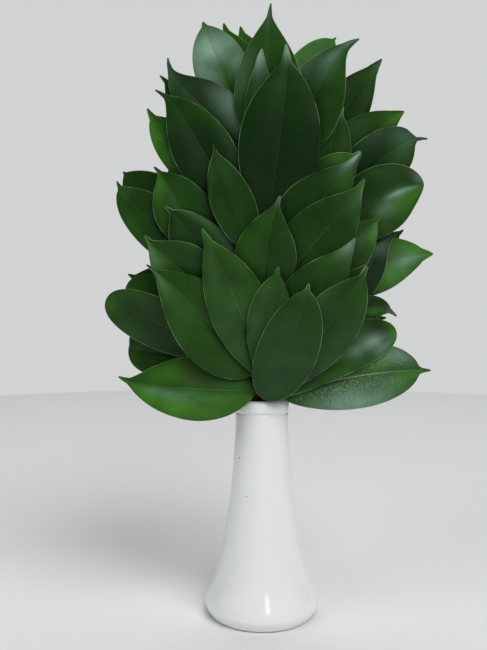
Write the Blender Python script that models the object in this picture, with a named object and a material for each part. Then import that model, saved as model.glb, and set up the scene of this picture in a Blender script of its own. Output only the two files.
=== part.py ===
"""Sakaki, an evergreen offering branch, standing in water in a slim white porcelain vase.

Units are metres in the scene and millimetres in the tables. The origin is the middle of the
foot of the vase, +Z is up, and the arrangement faces -Y. Each twig is one solid: its stem,
its leaf stalks and its leaves. The leaves are told as they look from the eye point in front,
on the upright plane through the vase's axis. Each one is then laid on those already behind
it, back to front, so that no leaf passes through another.
"""
import math

import bmesh
import bpy
import numpy as np
from mathutils import Vector

MM = 0.001

# The turned vase, millimetres
VASE_HEIGHT = 135.0
VASE_SEGMENTS = 36
FOOT_RADIUS = 31.5
BELLY_RADIUS = 35.8
WAIST_RADIUS = 16.7
LIP_RADIUS = 17.2
BORE_RADIUS = 13.2
FLOOR_THICKNESS = 4.0
OUTER_PROFILE = ((FOOT_RADIUS, 0.0), (34.2, 2.2), (BELLY_RADIUS, 7.5), (34.6, 11.8),
                 (31.6, 18.5), (28.3, 28.5), (25.2, 42.0), (21.9, 60.5), (18.9, 84.0),
                 (WAIST_RADIUS, 116.0), (WAIST_RADIUS, 125.6), (16.1, 126.7),
                 (LIP_RADIUS, 127.9), (LIP_RADIUS, 132.4), (15.9, 134.7), (15.0, VASE_HEIGHT))
INNER_PROFILE = ((BORE_RADIUS, 133.6), (BORE_RADIUS, 112.0), (16.2, 78.0),
                 (22.4, 39.0), (28.0, 20.0), (29.0, 8.5), (22.0, FLOOR_THICKNESS))

# The water that the stems stand in
WATER_TOP = 108.0
WATER_GAP = 0.3
WATER_SEGMENTS = 24
HOLE_SIDES = 6

# The eye that the leaves were read from
EYE_DISTANCE = 442.0
EYE_HEIGHT = 193.0

# Twigs and leaves
STEM_SIDES = 6
STEM_FOOT_RADIUS = 1.75
STEM_TIP_RADIUS = 1.15
STALK_HALF_WIDTH = 0.9
STALK_THICK = 1.5
STALK_FLOOR = 140.0
BLADE_THICKNESS = 0.62
BLADE_STATIONS = (0.09, 0.21, 0.37, 0.55, 0.73, 0.86, 0.935, 0.998)
CLEAR = 0.8
CELL = 1.6

# How each blade is folded along its midrib and bent, and the least that its tip stands out
FOLD = math.radians(13.0)
CUP = 0.17
ARCH = 3.0
CURL = 3.0
LEAN = 2.0

# The shallow bowl behind the vase's axis that the rear leaves are laid on
BOWL_FRONT = -8.0
BOWL_DEPTH = 22.0
BOWL_REACH = 80.0
BOWL_BEND = 0.0006

# How far a stem keeps to the vase's mouth, and how steeply it then comes forward
MOUTH_RUN = 8.0
MOUTH_BLEND = 24.0
STEM_SLOPE = 0.30


def seen(x, z, d):
    """Carry a point seen at x, z on the axis plane to the depth d in front of that plane."""
    near = 1.0 - d / EYE_DISTANCE
    return np.array((x * near, -d, EYE_HEIGHT + (z - EYE_HEIGHT) * near))


def leaf(base, tip, width, bow=0.0, hook=0.0, heel=1.0, point=0.85, drip=0.07, beak=1.6):
    """Describe one leaf: base and tip as seen, width, and how it bends.

    bow swings the midrib to its right-hand side and hook bends the tip that way. heel and
    point set how fast the blade narrows at its two ends. drip is the share of its length
    that is the drawn-out tip, and beak is half the width there.
    """
    return dict(base=base, tip=tip, width=width, bow=bow, hook=hook, heel=heel, point=point,
                drip=drip, beak=beak)


# Each twig: where it stands in the neck, its way up as seen, and its leaves, rear ones first
TWIGS = (
    dict(name="sprig_back_right", foot=(7.0, 7.5),
         way=((8, 142), (26, 172), (40, 205), (44, 238)), leaves=(
             leaf((40, 238), (52, 322), 34),
             leaf((44, 236), (86, 284), 34),
             leaf((42, 214), (20, 280), 34),
             leaf((41, 205), (88.5, 241), 32),
             leaf((30, 178), (72, 222), 34),
             leaf((28, 172), (78, 186), 26, bow=-3),
             leaf((16, 154), (66, 172), 30),
         )),
    dict(name="sprig_back_left", foot=(-7.0, 6.5),
         way=((-8, 142), (-24, 172), (-36, 205), (-40, 236)), leaves=(
             leaf((-38, 238), (-51, 306), 29),
             leaf((-40, 232), (-87.5, 278), 36, point=0.8, drip=0.02, beak=1.0),
             leaf((-37, 216), (-22, 280), 30),
             leaf((-35, 200), (-84.5, 213.5), 32, bow=-3),
             leaf((-32, 190), (-86.5, 203.5), 28, bow=1.5, point=0.5, drip=0.0, beak=0.3),
             leaf((-24, 169), (-84, 172), 32, point=0.42, drip=0.0, beak=0.3),
             leaf((-18, 157), (-84.5, 166.5), 31, point=0.45, drip=0.0, beak=0.3),
         )),
    dict(name="sprig_back", foot=(-0.5, 5.5), way=((-1, 145), (2, 200), (0, 255), (1, 305)), leaves=(
        leaf((0, 306), (-13.5, 368), 32, beak=2.4),
        leaf((-3, 302), (-24, 370), 32, beak=2.4),
        leaf((5, 297), (46, 360.5), 34, hook=1.5, heel=0.7, point=0.6, drip=0.03, beak=1.0),
        leaf((4, 284), (34, 340), 34),
        leaf((-1, 264), (-36, 324), 38),
        leaf((4, 232), (40, 292), 38),
        leaf((-2, 205), (-38, 262), 38),
        leaf((5, 178), (36, 240), 38),
        leaf((-2, 162), (-38, 214), 36),
    )),
    dict(name="sprig_right", foot=(6.0, 2.0), way=((7, 145), (17, 195), (28, 240), (35, 276)), leaves=(
        leaf((35, 281), (74.5, 347), 30, bow=-3.5, heel=1.1, point=1.05, beak=3.0),
        leaf((36, 272), (88.5, 314.5), 31, bow=-2, hook=0.7, point=0.9, drip=0.05, beak=3.0),
        leaf((34, 259), (103, 297.5), 35.5, bow=0.2, hook=4.8, heel=0.75, point=0.47, drip=0.09),
        leaf((36, 250), (50.5, 317.5), 27, bow=-2, point=0.75, beak=2.0),
        leaf((35, 240), (61.5, 290), 31, bow=-7.5, heel=1.05, point=0.8),
    )),
    dict(name="sprig_left", foot=(-4.5, 1.5), way=((-5, 145), (-9, 205), (-12, 250), (-9, 292)), leaves=(
        leaf((-8, 298), (-37, 371), 35, heel=0.95, point=0.65, drip=0.04, beak=2.5),
        leaf((-10, 286), (-64, 338), 34),
        leaf((-10, 287), (-59, 349), 38, bow=0.7, hook=5, heel=0.9, point=1.15),
        leaf((-13, 246), (-72, 317.5), 32, bow=2.8, hook=2.8, heel=0.95, point=0.7, beak=3.0),
        leaf((-8, 248), (-67, 329), 39, hook=-4.2, heel=1.1, point=0.95),
    )),
    dict(name="sprig_centre", foot=(1.5, -2.5), way=((1, 145), (3, 200), (3, 240), (4, 280)), leaves=(
        leaf((11, 279), (60.5, 359.5), 40, bow=-2.6, hook=5, heel=0.85, point=0.95, drip=0.08,
             beak=3.4),
        leaf((4, 280), (5.5, 382), 45, hook=1, heel=0.9, point=1.05),
        leaf((1, 276), (0, 354), 23, hook=1.2, heel=0.95, point=1.05, drip=0.06, beak=2.4),
        leaf((3, 243), (15, 357), 52, bow=1.9, hook=-1.1, heel=0.85, point=0.8, drip=0.1, beak=4.5),
    )),
    dict(name="sprig_side_right", foot=(8.0, -4.0),
         way=((11, 145), (26, 172), (38, 200), (42, 238)), leaves=(
             leaf((42, 199), (107, 226), 34, bow=-6.5, heel=0.75, point=0.7, drip=0.09, beak=5.6),
             leaf((44, 188), (85, 240), 23, bow=1.5, hook=2.5, heel=0.85, point=1.1),
             leaf((44, 228.5), (101, 269), 43, bow=-7.5, hook=1.5, heel=0.8, point=0.6, drip=0.0),
             leaf((35, 178), (84.5, 187), 18, bow=-5.5, hook=4, point=0.65),
             leaf((36, 191), (75, 250), 28, bow=-4.3, heel=0.9, point=0.7),
             leaf((27, 168), (65, 219), 26, hook=2),
             leaf((12, 136), (106, 153), 42, bow=-4.5, heel=0.7, point=0.55, beak=2.2),
             leaf((12, 137), (84.5, 177), 31, bow=-6.3, heel=0.65, point=0.45, drip=0.0, beak=0.6),
         )),
    dict(name="sprig_side_left", foot=(-8.5, -3.0),
         way=((-11, 145), (-20, 170), (-25, 195), (-26, 222)), leaves=(
             leaf((-28, 214), (-91.5, 272), 35, bow=-1.0, hook=2.8, heel=0.6, point=0.62, drip=0.05),
             leaf((-24, 224), (-68, 281), 37, bow=-3.8, hook=-2.5, heel=1.15, point=0.9),
             leaf((-18, 202), (-61, 256), 38, hook=-1.7, heel=0.6, point=0.75),
             leaf((-27, 191), (-74, 238), 38, bow=1.6, hook=1.6, heel=1.05, point=1.05),
             leaf((-18, 159), (-98.5, 198), 32, heel=0.75, point=0.45, drip=0.0, beak=0.3),
             leaf((-5, 147), (-46, 156), 30, heel=0.6),
             leaf((-4, 139.5), (-91, 148.5), 42, bow=-2, hook=2.3, heel=0.7, beak=2.2),
         )),
    dict(name="sprig_middle", foot=(-3.0, -6.5), way=((-2, 145), (1, 175), (3, 205), (2, 228)), leaves=(
        leaf((7, 229), (62, 289), 40, bow=1.2, heel=0.85, point=1.15, beak=3.0),
        leaf((-4, 223), (-30.5, 295), 28, bow=-1, hook=1, heel=0.9),
        leaf((9, 203), (64, 273), 42, hook=-1.9, heel=0.85, point=1.0, beak=2.8),
        leaf((2, 192), (11.5, 262.5), 40, bow=-4, heel=1.05, point=1.15),
        leaf((6, 167), (58.5, 236), 37, hook=-1.2, heel=0.93, point=1.05, beak=3.4),
        leaf((-6, 150), (-73, 219.5), 48, bow=2, hook=-1.2, heel=0.6, point=0.9),
        leaf((-3, 150), (-37.5, 242), 39, bow=4.2, hook=1.1, heel=0.8, drip=0.09, beak=3.6),
    )),
    dict(name="sprig_front", foot=(2.5, -9.0), way=((3, 141), (2, 150)), leaves=(
        leaf((-2, 148), (10.5, 218), 27, bow=-0.5, point=0.77, beak=2.2),
        leaf((9, 137), (66, 218), 37, bow=1.2, hook=-1.3, point=0.75, beak=2.2),
        leaf((0.8, 134.8), (29.5, 207.5), 39, bow=3.4, heel=0.5, point=0.6, drip=0.06),
    )),
)


class Pile:
    """How far in front of the axis plane the leaves laid so far reach, cell by cell."""

    def __init__(self):
        self.x0, self.z0 = -130.0, 96.0
        self.columns, self.rows = 164, 192
        x = self.x0 + CELL * (np.arange(self.columns) + 0.5)
        z = self.z0 + CELL * (np.arange(self.rows) + 0.5)
        x, z = np.meshgrid(x, z, indexing="ij")
        out = np.hypot(x, z - VASE_HEIGHT)
        # Nothing is laid further back than this
        self.front = BOWL_FRONT - BOWL_DEPTH * (1.0 - np.exp(-out / BOWL_REACH)) - BOWL_BEND * x * x
        # The front of the lip and neck, which hanging leaves pass in front of
        neck = (np.abs(x) < LIP_RADIUS + 2.0) & (z < 134.0)
        reach = np.sqrt(np.clip((LIP_RADIUS + 0.8) ** 2 - x * x, 0.0, None))
        self.front[neck] = reach[neck]

    def cells(self, x, z):
        i = np.clip(((x - self.x0) / CELL).astype(int), 1, self.columns - 2)
        j = np.clip(((z - self.z0) / CELL).astype(int), 1, self.rows - 2)
        return i, j

    def reach(self, x, z):
        return self.front[self.cells(x, z)]

    def add(self, x, z, d):
        i, j = self.cells(np.ravel(x), np.ravel(z))
        for across in (-1, 0, 1):
            for up in (-1, 0, 1):
                np.maximum.at(self.front, (i + across, j + up), np.ravel(d))


def half_width(spec, s):
    """Half the blade's width at s from stalk to tip: a rounded body, then a drawn-out tip."""
    heel, point, drip = spec["heel"], spec["point"], spec["drip"]
    u = np.clip(s / (1.0 - drip), 0.0, 1.0)
    peak = heel / (heel + point)
    top = peak ** heel * (1.0 - peak) ** point
    body = 0.5 * spec["width"] * u ** heel * (1.0 - u) ** point / top
    close = np.clip((1.0 - s) / max(1.4 * drip, 0.05), 0.0, 1.0)
    tongue = 0.5 + spec["beak"] * s * close
    return (body ** 2.5 + tongue ** 2.5) ** 0.4


def blade(spec, s, t):
    """Seen x and z, and relief towards the eye, at s along the blade and t across it."""
    base, tip = np.array(spec["base"], float), np.array(spec["tip"], float)
    chord = tip - base
    length = math.hypot(*chord)
    ahead = chord / length
    bow, hook = spec["bow"], spec["hook"]
    off = bow * 4.0 * s * (1.0 - s) - hook * 12.2 * s ** 4 * (1.0 - s)
    swing = bow * 4.0 * (1.0 - 2.0 * s) - hook * 12.2 * (4.0 * s ** 3 - 5.0 * s ** 4)
    turn = np.arctan2(swing, length)
    side_x = ahead[1] * np.cos(turn) - ahead[0] * np.sin(turn)
    side_z = -ahead[0] * np.cos(turn) - ahead[1] * np.sin(turn)
    half = half_width(spec, s)
    flat = t * half * math.cos(FOLD)
    relief = half * (math.sin(FOLD) * np.abs(t) - CUP * t * t)
    relief = relief + ARCH * 4.0 * s * (1.0 - s)
    relief = relief - CURL * (np.clip(s - 0.6, 0.0, 1.0) / 0.4) ** 2
    x = base[0] + chord[0] * s + ahead[1] * off + side_x * flat
    z = base[1] + chord[1] * s - ahead[0] * off + side_z * flat
    return x, z, relief


def settle(spec, pile, root):
    """Lay the leaf on the pile like a card: find the lowest stand, rise and tilt that clear it."""
    s, t = np.meshgrid(np.linspace(0.0, 1.0, 61), np.linspace(-1.0, 1.0, 27), indexing="ij")
    x, z, relief = blade(spec, s, t)
    aside = t * half_width(spec, s)
    need = pile.reach(x, z) + CLEAR + BLADE_THICKNESS - relief
    near, far = s < 0.05, s >= 0.05
    best = None
    for tilt in np.arange(-0.42, 0.43, 0.06):
        level = need - tilt * aside
        for extra in np.arange(0.0, 30.0, 0.5):
            stand = root + extra
            if stand < level[near].max():
                continue
            rise = max(LEAN, ((level[far] - stand) / s[far]).max())
            cost = stand + 0.5 * rise + 0.9 * extra + 6.0 * abs(tilt) + max(0.0, rise - 15.0)
            if best is None or cost < best[0]:
                best = (cost, stand, rise, tilt)
    spec["stand"], spec["rise"], spec["tilt"] = best[1:]
    pile.add(x, z, relief + depth_of(spec, s, t))


def depth_of(spec, s, t):
    """How far in front of the axis plane the settled leaf's own frame stands."""
    return spec["stand"] + spec["rise"] * s + spec["tilt"] * t * half_width(spec, s)


def leaf_point(spec, s, t):
    x, z, relief = blade(spec, s, t)
    return seen(x, z, depth_of(spec, s, t) + relief)


def leaf_normal(spec, s, t):
    """The unit normal of the blade's upper face, the one that looks at the eye."""
    e = 0.004
    low, high = np.clip(s - e, 0.0, 1.0), np.clip(s + e, 0.0, 1.0)
    along = leaf_point(spec, high, t) - leaf_point(spec, low, t)
    left, right = max(t - 0.02, -1.0), min(t + 0.02, 1.0)
    if t == 0.0:
        left, right = -0.9, 0.9
    over = leaf_point(spec, s, right) - leaf_point(spec, s, left)
    normal = np.cross(over, along)
    return normal / np.linalg.norm(normal)


def smooth_way(points, count):
    """A curve with even steps through the points, as x, y, z rows."""
    points = np.array(points, float)
    steps = np.linalg.norm(np.diff(points, axis=0), axis=1) ** 0.5
    knots = np.concatenate(((0.0,), np.cumsum(steps)))
    slopes = np.gradient(points, knots, axis=0)
    fine = np.linspace(0.0, knots[-1], 40 * count)
    index = np.clip(np.searchsorted(knots, fine, side="right") - 1, 0, len(knots) - 2)
    span = (knots[index + 1] - knots[index])[:, None]
    u = (fine[:, None] - knots[index][:, None]) / span
    curve = ((2 * u ** 3 - 3 * u ** 2 + 1) * points[index]
             + (u ** 3 - 2 * u ** 2 + u) * span * slopes[index]
             + (3 * u ** 2 - 2 * u ** 3) * points[index + 1]
             + (u ** 3 - u ** 2) * span * slopes[index + 1])
    lengths = np.linalg.norm(np.diff(curve, axis=0), axis=1)
    travelled = np.concatenate(((0.0,), np.cumsum(lengths)))
    even = np.linspace(0.0, travelled[-1], count)
    return np.stack([np.interp(even, travelled, curve[:, k]) for k in range(3)], axis=1)


def lay_stem(twig, pile):
    """Carry the stem up from the neck, just in front of everything laid behind it."""
    foot_x, foot_y = twig["foot"]
    mouth_d = -foot_y
    mouth_z = EYE_HEIGHT + (VASE_HEIGHT - EYE_HEIGHT) / (1.0 - mouth_d / EYE_DISTANCE)
    mouth_x = foot_x / (1.0 - mouth_d / EYE_DISTANCE)
    plan = [(mouth_x, 0.0, mouth_z + 1.0)] + [(x, 0.0, z) for x, z in twig["way"]]
    path = smooth_way(plan, 26)
    x, z = path[:, 0], path[:, 2]
    travelled = np.concatenate(((0.0,), np.cumsum(np.hypot(np.diff(x), np.diff(z)))))
    need = pile.reach(x, z) + CLEAR + STEM_FOOT_RADIUS
    need[0] = mouth_d
    mouth = travelled < MOUTH_RUN
    need[mouth] = np.minimum(need[mouth], mouth_d + 1.0)
    gap = np.abs(travelled[:, None] - travelled[None, :])
    depth = (need[None, :] - STEM_SLOPE * gap).max(axis=1)
    blend = np.clip(travelled / MOUTH_BLEND, 0.0, 1.0)
    blend = blend * blend * (3.0 - 2.0 * blend)
    depth = mouth_d + (depth - mouth_d) * blend
    for _ in range(3):
        depth[1:-1] = 0.25 * depth[:-2] + 0.5 * depth[1:-1] + 0.25 * depth[2:]
    twig["seen"] = np.stack((x, z, depth), axis=1)
    fine = np.linspace(0.0, len(x) - 1.0, 200)
    where = np.arange(len(x))
    x, z, depth = (np.interp(fine, where, v) for v in (x, z, depth))
    for shift in (-1.5, 0.0, 1.5):
        pile.add(x + shift, z, depth + STEM_FOOT_RADIUS * 0.9)


def lay_everything():
    """Settle the depth of every stem and leaf, from the rear of the bundle to its front."""
    pile = Pile()
    for twig in TWIGS:
        lay_stem(twig, pile)
        stem = twig["seen"]
        for spec in twig["leaves"]:
            base, tip = np.array(spec["base"], float), np.array(spec["tip"], float)
            ahead = (tip - base) / np.linalg.norm(tip - base)
            joint = base - 3.0 * ahead - np.array((0.0, 3.0))
            joint[1] = max(joint[1], STALK_FLOOR)
            near = np.hypot(stem[:, 0] - joint[0], stem[:, 1] - joint[1]).argmin()
            spec["joint"] = int(near)
            settle(spec, pile, stem[near, 2] + 0.5)


def put_mesh(name, verts, faces):
    mesh = bpy.data.meshes.new(name)
    mesh.from_pydata([Vector(v) * MM for v in verts], [], faces)
    mesh.validate()
    return mesh


def put_object(name, mesh, collection=None):
    thing = bpy.data.objects.new(name, mesh)
    (collection or bpy.context.scene.collection).objects.link(thing)
    return thing


def tube_mesh(name, path, radii, sides):
    """A closed tube round a path in millimetres, its rings turned as little as may be."""
    path = np.array(path, float)
    tangents = np.gradient(path, axis=0)
    tangents /= np.linalg.norm(tangents, axis=1)[:, None]
    across = np.cross(tangents[0], (0.35, 1.0, 0.2))
    verts, faces = [], []
    for centre, tangent, radius in zip(path, tangents, radii):
        across = across - tangent * np.dot(across, tangent)
        across /= np.linalg.norm(across)
        other = np.cross(tangent, across)
        for k in range(sides):
            a = 2.0 * math.pi * k / sides
            verts.append(centre + radius * (math.cos(a) * across + math.sin(a) * other))
    for ring in range(len(path) - 1):
        for k in range(sides):
            a, b = ring * sides + k, ring * sides + (k + 1) % sides
            faces += [(a, b, b + sides), (a, b + sides, a + sides)]
    last = (len(path) - 1) * sides
    faces.append(tuple(reversed(range(sides))))
    faces.append(tuple(last + k for k in range(sides)))
    return put_mesh(name, verts, faces)


def unit(v):
    return v / np.linalg.norm(v)


def leaf_mesh(name, twig, spec):
    """A closed leaf: its stalk from inside the stem, then two folded strips up to the tip."""
    start = seen(*twig["seen"][spec["joint"]])
    root, inner = leaf_point(spec, 0.015, 0.0), leaf_point(spec, 0.1, 0.0)
    middle = 0.5 * (root - (inner - root) * 0.45) + 0.5 * start
    over = unit(leaf_point(spec, 0.06, 1.0) - leaf_point(spec, 0.06, -1.0))
    upper, lower, faces = [], [], []
    ways = ((start, middle - start, STALK_THICK), (middle, root - start, STALK_THICK),
            (root, inner - middle, 0.8 * STALK_THICK))
    for centre, way, thick in ways:
        way = unit(way)
        across = unit(over - way * np.dot(over, way))
        normal = np.cross(across, way)
        for t in (-1.0, 0.0, 1.0):
            half = 0.5 * thick * (0.6 if t else 1.0)
            edge = centre + t * STALK_HALF_WIDTH * across
            upper.append(edge + half * normal)
            lower.append(edge - half * normal)
    for s in BLADE_STATIONS:
        for t in (-1.0, 0.0, 1.0):
            point, normal = leaf_point(spec, s, t), leaf_normal(spec, s, t)
            upper.append(point + 0.5 * BLADE_THICKNESS * normal)
            lower.append(point - 0.5 * BLADE_THICKNESS * normal)
    rows, shift = len(upper) // 3 - 1, len(upper)
    for row in range(rows):
        for column in range(2):
            a = row * 3 + column
            b, c, d = a + 1, a + 4, a + 3
            cut = ((a, b, c), (a, c, d)) if column else ((a, b, d), (b, c, d))
            for tri in cut:
                faces.append(tri)
                faces.append(tuple(k + shift for k in reversed(tri)))
    rim = [row * 3 for row in range(rows + 1)]
    rim += [rows * 3 + 1] + [row * 3 + 2 for row in range(rows, -1, -1)] + [1]
    for a, b in zip(rim, rim[1:] + rim[:1]):
        faces += [(a, b, b + shift), (a, b + shift, a + shift)]
    return put_mesh(name, upper + lower, faces)


def stem_path(twig):
    foot_x, foot_y = twig["foot"]
    low = [(foot_x, foot_y, z) for z in (FLOOR_THICKNESS + WATER_GAP, 60.0, WATER_TOP, 124.0)]
    return [np.array(p) for p in low] + [seen(*row) for row in twig["seen"][1::3]]


def tidy_mesh(mesh):
    """Point the faces out, cut them into triangles and shade them smooth but for sharp edges."""
    shape = bmesh.new()
    shape.from_mesh(mesh)
    bmesh.ops.remove_doubles(shape, verts=shape.verts, dist=0.0000005)
    bmesh.ops.triangulate(shape, faces=shape.faces)
    bmesh.ops.recalc_face_normals(shape, faces=shape.faces)
    shape.to_mesh(mesh)
    shape.free()
    mesh.shade_smooth()
    mesh.set_sharp_from_angle(angle=math.radians(40))


def paint(thing, name, colour, roughness):
    material = bpy.data.materials.get(name)
    if material is None:
        material = bpy.data.materials.new(name)
        material.use_nodes = True
        shader = material.node_tree.nodes["Principled BSDF"]
        shader.inputs["Base Color"].default_value = (*colour, 1.0)
        shader.inputs["Roughness"].default_value = roughness
    thing.data.materials.clear()
    thing.data.materials.append(material)


def new_group(name):
    group = bpy.data.collections.new(name)
    bpy.context.scene.collection.children.link(group)
    return group


def combine(thing, group, operation):
    """Join a group's solids to a solid, or cut them from it, and clear the group away."""
    step = thing.modifiers.new(group.name, "BOOLEAN")
    step.operand_type = "COLLECTION"
    step.collection = group
    step.operation = operation
    step.solver = "MANIFOLD"
    bpy.context.view_layer.update()
    shape = thing.evaluated_get(bpy.context.evaluated_depsgraph_get())
    mesh = bpy.data.meshes.new_from_object(shape)
    thing.modifiers.clear()
    thing.data = mesh
    for extra in list(group.objects):
        bpy.data.objects.remove(extra, do_unlink=True)
    bpy.data.collections.remove(group)


def make_twig(twig):
    """Fuse one twig's stem, stalks and leaves into a single solid."""
    path = stem_path(twig)
    radii = np.linspace(STEM_FOOT_RADIUS, STEM_TIP_RADIUS, len(path))
    thing = put_object(twig["name"], tube_mesh(twig["name"], path, radii, STEM_SIDES))
    growth = new_group(twig["name"] + "_leaves")
    for number, spec in enumerate(twig["leaves"]):
        name = "%s_leaf_%d" % (twig["name"], number)
        put_object(name, leaf_mesh(name, twig, spec), growth)
    combine(thing, growth, "UNION")
    tidy_mesh(thing.data)
    paint(thing, "sakaki_leaf", (0.045, 0.115, 0.03), 0.34)
    return thing


def turned(name, profile, segments):
    """A solid of revolution, closed by a flat face where its outline stops off the axis."""
    verts, rings = [], []
    for radius, height in profile:
        if radius == 0.0:
            rings.append([len(verts)])
            verts.append((0.0, 0.0, height))
            continue
        rings.append(list(range(len(verts), len(verts) + segments)))
        for k in range(segments):
            a = 2.0 * math.pi * k / segments
            verts.append((radius * math.cos(a), radius * math.sin(a), height))
    faces = []
    for low, high in zip(rings, rings[1:]):
        for k in range(segments):
            a, b = low[k % len(low)], low[(k + 1) % len(low)]
            c, d = high[(k + 1) % len(high)], high[k % len(high)]
            if len(low) == 1:
                faces.append((a, c, d))
            elif len(high) == 1:
                faces.append((a, b, c))
            else:
                faces.append((a, b, c, d))
    if len(rings[0]) > 1:
        faces.append(tuple(reversed(rings[0])))
    if len(rings[-1]) > 1:
        faces.append(tuple(rings[-1]))
    return put_mesh(name, verts, faces)


def make_vase():
    outline = OUTER_PROFILE + INNER_PROFILE
    thing = put_object("vase", turned("vase", outline, VASE_SEGMENTS))
    tidy_mesh(thing.data)
    paint(thing, "white_porcelain", (0.86, 0.87, 0.88), 0.18)
    return thing


def make_water():
    """The water fills the vase to its neck, with a plain hole for each stem."""
    inner = [p for p in INNER_PROFILE if p[1] < WATER_TOP]
    radii, heights = zip(*reversed(INNER_PROFILE))
    neck = np.interp(WATER_TOP, heights, radii)
    wall = [(neck - WATER_GAP, WATER_TOP)]
    wall += [(r - WATER_GAP, max(z, FLOOR_THICKNESS + WATER_GAP)) for r, z in inner]
    wall.reverse()
    thing = put_object("water", turned("water", wall, WATER_SEGMENTS))
    holes = new_group("stem_holes")
    radius = (STEM_FOOT_RADIUS + WATER_GAP) / math.cos(math.pi / HOLE_SIDES)
    for twig in TWIGS:
        x, y = twig["foot"]
        path = [(x, y, z) for z in (0.0, WATER_TOP + 5.0)]
        name = "hole_" + twig["name"]
        put_object(name, tube_mesh(name, path, (radius, radius), HOLE_SIDES), holes)
    combine(thing, holes, "DIFFERENCE")
    tidy_mesh(thing.data)
    paint(thing, "clear_water", (0.8, 0.86, 0.88), 0.05)
    return thing


def main():
    for thing in list(bpy.data.objects):
        bpy.data.objects.remove(thing, do_unlink=True)
    lay_everything()
    made = [make_vase(), make_water()] + [make_twig(twig) for twig in TWIGS]
    root = bpy.data.objects.new("sakaki_arrangement", None)
    bpy.context.scene.collection.objects.link(root)
    for thing in made:
        thing.parent = root
    bpy.context.view_layer.update()


main()
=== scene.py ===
"""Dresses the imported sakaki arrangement: leafy twigs standing in a slim porcelain vase.

Tables and shapes are in millimetres, and become metres when a mesh is made. The origin is the
middle of the vase's foot, +Z is up, and the leaves face -Y. Every leaf is told as it looks from
the eye point in front and is laid on those already behind it, as in the solid part.
"""

import math

import bpy
import numpy as np
from bpy.props import FloatProperty, FloatVectorProperty, IntProperty, PointerProperty
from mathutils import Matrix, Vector


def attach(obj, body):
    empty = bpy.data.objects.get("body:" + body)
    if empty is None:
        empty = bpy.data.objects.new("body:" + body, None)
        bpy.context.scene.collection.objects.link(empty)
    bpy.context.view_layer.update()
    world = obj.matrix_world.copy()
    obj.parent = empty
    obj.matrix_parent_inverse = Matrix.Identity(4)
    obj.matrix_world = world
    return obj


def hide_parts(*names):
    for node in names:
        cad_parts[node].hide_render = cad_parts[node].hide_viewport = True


bl_info = {
    "name": "Sakaki arrangement",
    "version": (1, 0, 0),
    "blender": (4, 5, 0),
    "location": "3D View > Sidebar > Sakaki",
    "description": "Grows the leafy twigs, the porcelain vase and the studio round the solid part",
    "category": "Add Mesh",
}

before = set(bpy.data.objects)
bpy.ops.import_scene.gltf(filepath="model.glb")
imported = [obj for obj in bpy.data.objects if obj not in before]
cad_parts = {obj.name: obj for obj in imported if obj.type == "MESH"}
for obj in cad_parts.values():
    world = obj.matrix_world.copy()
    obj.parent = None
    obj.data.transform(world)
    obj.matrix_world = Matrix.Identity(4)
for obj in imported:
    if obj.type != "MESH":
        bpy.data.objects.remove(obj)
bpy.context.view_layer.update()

MM = 0.001

# The turned vase, from the middle of its foot to the lip and down inside
VASE_HEIGHT = 135.0
LIP_RADIUS = 17.2
BORE_RADIUS = 13.2
FLOOR_THICKNESS = 4.0
FOOT_RING = ((0.0, 1.0), (24.6, 1.0), (26.2, 0.35), (27.4, 0.0), (31.5, 0.0))
BODY = ((31.5, 0.0), (33.1, 0.75), (34.2, 2.2), (35.5, 4.9), (35.8, 7.5), (34.6, 11.8),
        (31.6, 18.5), (28.3, 28.5), (25.2, 42.0), (21.9, 60.5), (18.9, 84.0), (16.7, 116.0),
        (16.6, 124.6))
LIP = ((16.6, 124.6), (16.55, 125.6), (16.35, 126.4), (16.4, 126.9), (16.85, 127.5), (17.15, 128.4),
       (17.25, 130.4), (17.1, 132.4), (16.6, 133.8), (15.7, 134.7), (14.9, 134.95), (14.0, 134.5),
       (13.4, 133.6), (BORE_RADIUS, 132.0))
INSIDE = ((BORE_RADIUS, 132.0), (BORE_RADIUS, 112.0), (16.2, 78.0), (22.4, 39.0), (28.0, 20.0),
          (29.0, 8.5), (22.0, 4.6), (12.0, FLOOR_THICKNESS), (0.0, FLOOR_THICKNESS))
GROOVE_HEIGHT = 126.6

# Two pinholes in the glaze, across and up, and how large each one's pit and its blur are, squared
PINHOLES = ((-13.8, 99.3), (-9.2, 77.0))
PINHOLE_CORE = 0.06
PINHOLE_BLUR = 0.3

# The water that the stems stand in
WATER_TOP = 108.0
WATER_GAP = 0.3

# The eye that the leaves were read from
EYE_DISTANCE = 442.0
EYE_HEIGHT = 193.0

# What the solid part was laid with
STEM_FOOT_RADIUS = 1.75
STEM_TIP_RADIUS = 1.15
STALK_FLOOR = 140.0
SOLID_BLADE = 0.62
CLEAR = 0.8
CELL = 1.6

# How each blade is folded along its midrib and bent, and the least that its tip stands out
FOLD = math.radians(13.0)
CUP = 0.17
ARCH = 3.0
CURL = 3.0
LEAN = 2.0

# The shallow bowl behind the vase's axis that the rear leaves are laid on
BOWL_FRONT = -8.0
BOWL_DEPTH = 22.0
BOWL_REACH = 80.0
BOWL_BEND = 0.0006

# How far a stem keeps to the vase's mouth, and how steeply it then comes forward
MOUTH_RUN = 8.0
MOUTH_BLEND = 24.0
STEM_SLOPE = 0.30

# How finely the leaves are drawn
BLADE_ROWS = 40
ACROSS = (0.0, 0.035, 0.09, 0.2, 0.34, 0.5, 0.66, 0.8, 0.91, 0.97, 1.0)
STALK_SIDES = 8
STALK_ROWS = 12
STEM_SIDES = 14
STEM_ROWS = 110

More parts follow.
